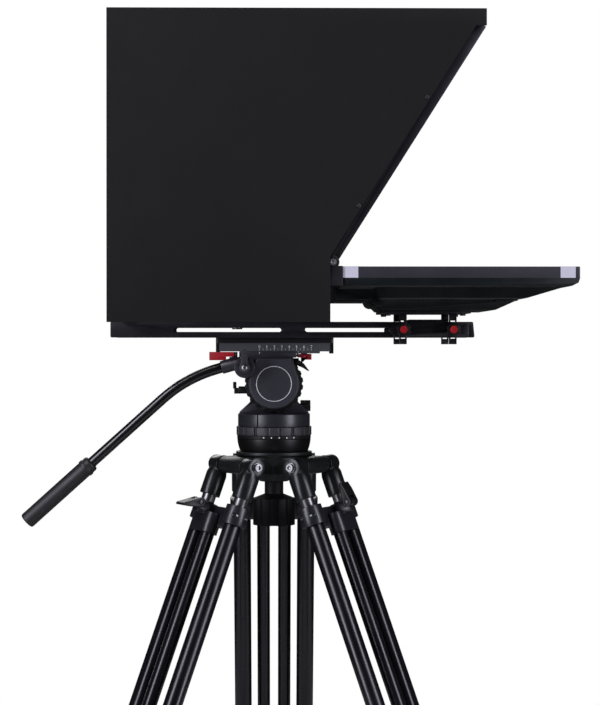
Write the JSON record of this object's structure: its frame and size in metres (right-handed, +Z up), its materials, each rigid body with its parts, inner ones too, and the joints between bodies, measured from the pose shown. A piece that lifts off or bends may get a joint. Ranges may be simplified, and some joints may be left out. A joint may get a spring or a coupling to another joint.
{
  "type": "teleprompter",
  "caption": "Hooded beam-splitter teleprompter with a face-up monitor on slotted rails, on a fluid head with a curved pan bar and a folding twin-tube tripod.",
  "frame": {"origin": "on the floor under the stand's vertical axis", "axes": "+Z up, +X forward towards the presenter, +Y to the left of someone behind the camera"},
  "size_m": [0.7109, 0.6331, 1.294],
  "materials": {
    "crown_enamel": "satin black enamel",
    "bolt_steel": "bright machined",
    "head_casting": "fine textured black",
    "cap_plastic": "fine textured dark grey",
    "knob_plastic": "moulded black",
    "anodised_plate": "dark anodised",
    "red_anodised": "red",
    "bar_enamel": "semi-gloss black",
    "grip_rubber": "matt black",
    "rail_enamel": "powder coated black",
    "screw_steel": "zinc plated",
    "frame_anodised": "black anodised",
    "coated_glass": "half-silvered front",
    "hood_board": "matt black board",
    "bezel_plastic": "dark grey",
    "monitor_plastic": "black, fine texture",
    "screen_glass": "anti-glare",
    "arm_enamel": "satin black enamel",
    "gloss_tube": "gloss black anodised",
    "lock_casting": "satin black",
    "foot_rubber": "matt black"
  },
  "bodies": {
    "stand": {"crown": "crown_enamel", "hinge_bolts": "bolt_steel", "half_ball": "head_casting"},
    "tie_down": {"tie_down_knob": "knob_plastic"},
    "drag_ring": {"pan_drag_ring": "knob_plastic"},
    "pan_head": {"pan_housing": "head_casting"},
    "pan_brake": {"pan_brake_knob": "knob_plastic"},
    "tilt_brake": {"tilt_brake_lever": "knob_plastic"},
    "tilt_head": {"tilt_body": "head_casting", "side_caps": "cap_plastic", "plate_clamp": "anodised_plate"},
    "tilt_dial": {"tilt_drag_dial": "knob_plastic"},
    "balance_lever": {"counterbalance_lever": "knob_plastic"},
    "red_lever": {"clamp_lever": "red_anodised"},
    "red_catch": {"safety_catch": "red_anodised"},
    "bar_arm": {"bar_clamp": "head_casting", "pan_bar": "bar_enamel", "bar_grip": "grip_rubber"},
    "bar_lever": {"bar_clamp_lever": "knob_plastic"},
    "prompter": {"sliding_plate": "anodised_plate", "base_rails": "rail_enamel", "glass_uprights": "rail_enamel", "hood": "hood_board", "hood_hoop": "rail_enamel"},
    "bed": {"camera_bed": "rail_enamel"},
    "bed_screw": {"camera_screw": "screw_steel"},
    "glass": {"glass_frame": "frame_anodised", "beam_splitter_glass": "coated_glass"},
    "carriage": {"monitor_carriage": "rail_enamel"},
    "monitor": {"monitor_posts": "rail_enamel", "vesa_plate": "rail_enamel", "monitor_back": "monitor_plastic", "monitor_bezel": "bezel_plastic", "monitor_screen": "screen_glass"},
    "rear_knob": {"knob_rear": "knob_plastic"},
    "front_knob": {"knob_front": "knob_plastic"},
    "rear_upper_leg": {"rear_leg_arms": "arm_enamel"},
    "rear_middle_leg": {"rear_outer_tubes": "gloss_tube", "rear_upper_lock": "lock_casting", "rear_lower_lock": "lock_casting"},
    "rear_lower_leg": {"rear_inner_tubes": "gloss_tube", "rear_foot": "foot_rubber"},
    "rear_upper_lever": {"rear_lock_lever": "knob_plastic"},
    "rear_foot_lever": {"rear_lower_lever": "knob_plastic"},
    "left_upper_leg": {"left_leg_arms": "arm_enamel"},
    "left_middle_leg": {"left_outer_tubes": "gloss_tube", "left_upper_lock": "lock_casting", "left_lower_lock": "lock_casting"},
    "left_lower_leg": {"left_inner_tubes": "gloss_tube", "left_foot": "foot_rubber"},
    "left_upper_lever": {"left_lock_lever": "knob_plastic"},
    "left_foot_lever": {"left_lower_lever": "knob_plastic"},
    "right_upper_leg": {"right_leg_arms": "arm_enamel"},
    "right_middle_leg": {"right_outer_tubes": "gloss_tube", "right_upper_lock": "lock_casting", "right_lower_lock": "lock_casting"},
    "right_lower_leg": {"right_inner_tubes": "gloss_tube", "right_foot": "foot_rubber"},
    "right_upper_lever": {"right_lock_lever": "knob_plastic"},
    "right_foot_lever": {"right_lower_lever": "knob_plastic"}
  },
  "joints": [
    {"name": "tie_down_turn", "type": "hinge", "parent": "stand", "child": "tie_down", "pos_m": [0, 0, 0.656], "axis": [0, 0, 1], "continuous": true},
    {"name": "drag_ring_turn", "type": "hinge", "parent": "stand", "child": "drag_ring", "pos_m": [0, 0, 0.765], "axis": [0, 0, 1], "continuous": true},
    {"name": "pan", "type": "hinge", "parent": "stand", "child": "pan_head", "pos_m": [0, 0, 0.775], "axis": [0, 0, 1], "continuous": true},
    {"name": "pan_brake_turn", "type": "hinge", "parent": "pan_head", "child": "pan_brake", "pos_m": [0.04, 0, 0.7995], "axis": [1, 0, 0], "continuous": true},
    {"name": "tilt_brake_turn", "type": "hinge", "parent": "pan_head", "child": "tilt_brake", "pos_m": [-0.04, -0.006, 0.821], "axis": [1, 0, 0], "range_deg": [0, 60]},
    {"name": "tilt", "type": "hinge", "parent": "pan_head", "child": "tilt_head", "pos_m": [0, 0, 0.83], "axis": [0, 1, 0], "range_deg": [-25, 30]},
    {"name": "tilt_dial_turn", "type": "hinge", "parent": "tilt_head", "child": "tilt_dial", "pos_m": [0, -0.022, 0.83], "axis": [0, 1, 0], "continuous": true},
    {"name": "balance_lever_turn", "type": "hinge", "parent": "tilt_head", "child": "balance_lever", "pos_m": [0.03, 0.008, 0.859], "axis": [1, 0, 0], "range_deg": [0, 60]},
    {"name": "red_lever_turn", "type": "hinge", "parent": "tilt_head", "child": "red_lever", "pos_m": [-0.054, -0.0255, 0.868], "axis": [0, 0, 1], "range_deg": [0, 35]},
    {"name": "red_catch_press", "type": "hinge", "parent": "tilt_head", "child": "red_catch", "pos_m": [0.0355, 0, 0.8675], "axis": [0, 1, 0], "range_deg": [0, 10], "stiffness_Nm_per_rad": 0.3},
    {"name": "bar_angle", "type": "hinge", "parent": "tilt_head", "child": "bar_arm", "pos_m": [-0.039, -0.055, 0.852], "axis": [0, 1, 0], "range_deg": [-5, 30]},
    {"name": "bar_lever_turn", "type": "hinge", "parent": "bar_arm", "child": "bar_lever", "pos_m": [-0.039, -0.07, 0.852], "axis": [0, 1, 0], "range_deg": [0, 60]},
    {"name": "plate_slide", "type": "slide", "parent": "tilt_head", "child": "prompter", "axis": [1, 0, 0], "range_m": [-0.07, 0]},
    {"name": "camera_bed_slide", "type": "slide", "parent": "prompter", "child": "bed", "axis": [1, 0, 0], "range_m": [-0.09, 0.05]},
    {"name": "camera_screw_turn", "type": "hinge", "parent": "bed", "child": "bed_screw", "pos_m": [-0.05, 0, 0.915], "axis": [0, 0, 1], "continuous": true},
    {"name": "glass_fold", "type": "hinge", "parent": "prompter", "child": "glass", "pos_m": [0.0722, 0, 0.9835], "axis": [0, 1, 0], "range_deg": [0, 57]},
    {"name": "carriage_slide", "type": "slide", "parent": "prompter", "child": "carriage", "axis": [1, 0, 0], "range_m": [-0.002, 0.01]},
    {"name": "monitor_lift", "type": "slide", "parent": "carriage", "child": "monitor", "axis": [0, 0, 1], "range_m": [-0.006, 0]},
    {"name": "rear_knob_turn", "type": "hinge", "parent": "carriage", "child": "rear_knob", "pos_m": [0.1716, -0.065, 0.9025], "axis": [0, 1, 0], "continuous": true},
    {"name": "front_knob_turn", "type": "hinge", "parent": "carriage", "child": "front_knob", "pos_m": [0.238, -0.065, 0.9025], "axis": [0, 1, 0], "continuous": true},
    {"name": "rear_leg_fold", "type": "hinge", "parent": "stand", "child": "rear_upper_leg", "pos_m": [0, 0.059, 0.72], "axis": [-1, 0, 0], "range_deg": [0, 20]},
    {"name": "rear_upper_slide", "type": "slide", "parent": "rear_upper_leg", "child": "rear_middle_leg", "axis": [0, 0.3633, -0.9317], "range_m": [0, 0.2]},
    {"name": "rear_lower_slide", "type": "slide", "parent": "rear_middle_leg", "child": "rear_lower_leg", "axis": [0, 0.3633, -0.9317], "range_m": [0, 0.35]},
    {"name": "rear_upper_lever_turn", "type": "hinge", "parent": "rear_middle_leg", "child": "rear_upper_lever", "pos_m": [0, 0.11672, 0.67381], "axis": [-1, 0, 0], "range_deg": [0, 114]},
    {"name": "rear_foot_lever_turn", "type": "hinge", "parent": "rear_middle_leg", "child": "rear_foot_lever", "pos_m": [0, 0.32886, 0.1297], "axis": [-1, 0, 0], "range_deg": [0, 114]},
    {"name": "left_leg_fold", "type": "hinge", "parent": "stand", "child": "left_upper_leg", "pos_m": [-0.0511, -0.0295, 0.72], "axis": [0.5, -0.866, 0], "range_deg": [0, 20]},
    {"name": "left_upper_slide", "type": "slide", "parent": "left_upper_leg", "child": "left_middle_leg", "axis": [-0.3146, -0.1816, -0.9317], "range_m": [0, 0.2]},
    {"name": "left_lower_slide", "type": "slide", "parent": "left_middle_leg", "child": "left_lower_leg", "axis": [-0.3146, -0.1816, -0.9317], "range_m": [0, 0.35]},
    {"name": "left_upper_lever_turn", "type": "hinge", "parent": "left_middle_leg", "child": "left_upper_lever", "pos_m": [-0.10108, -0.05836, 0.67381], "axis": [0.5, -0.866, 0], "range_deg": [-114, 0]},
    {"name": "left_foot_lever_turn", "type": "hinge", "parent": "left_middle_leg", "child": "left_foot_lever", "pos_m": [-0.2848, -0.16443, 0.1297], "axis": [0.5, -0.866, 0], "range_deg": [0, 114]},
    {"name": "right_leg_fold", "type": "hinge", "parent": "stand", "child": "right_upper_leg", "pos_m": [0.0511, -0.0295, 0.72], "axis": [0.5, 0.866, 0], "range_deg": [0, 20]},
    {"name": "right_upper_slide", "type": "slide", "parent": "right_upper_leg", "child": "right_middle_leg", "axis": [0.3146, -0.1816, -0.9317], "range_m": [0, 0.2]},
    {"name": "right_lower_slide", "type": "slide", "parent": "right_middle_leg", "child": "right_lower_leg", "axis": [0.3146, -0.1816, -0.9317], "range_m": [0, 0.35]},
    {"name": "right_upper_lever_turn", "type": "hinge", "parent": "right_middle_leg", "child": "right_upper_lever", "pos_m": [0.10108, -0.05836, 0.67381], "axis": [0.5, 0.866, 0], "range_deg": [0, 114]},
    {"name": "right_foot_lever_turn", "type": "hinge", "parent": "right_middle_leg", "child": "right_foot_lever", "pos_m": [0.2848, -0.16443, 0.1297], "axis": [0.5, 0.866, 0], "range_deg": [0, 114]}
  ]
}
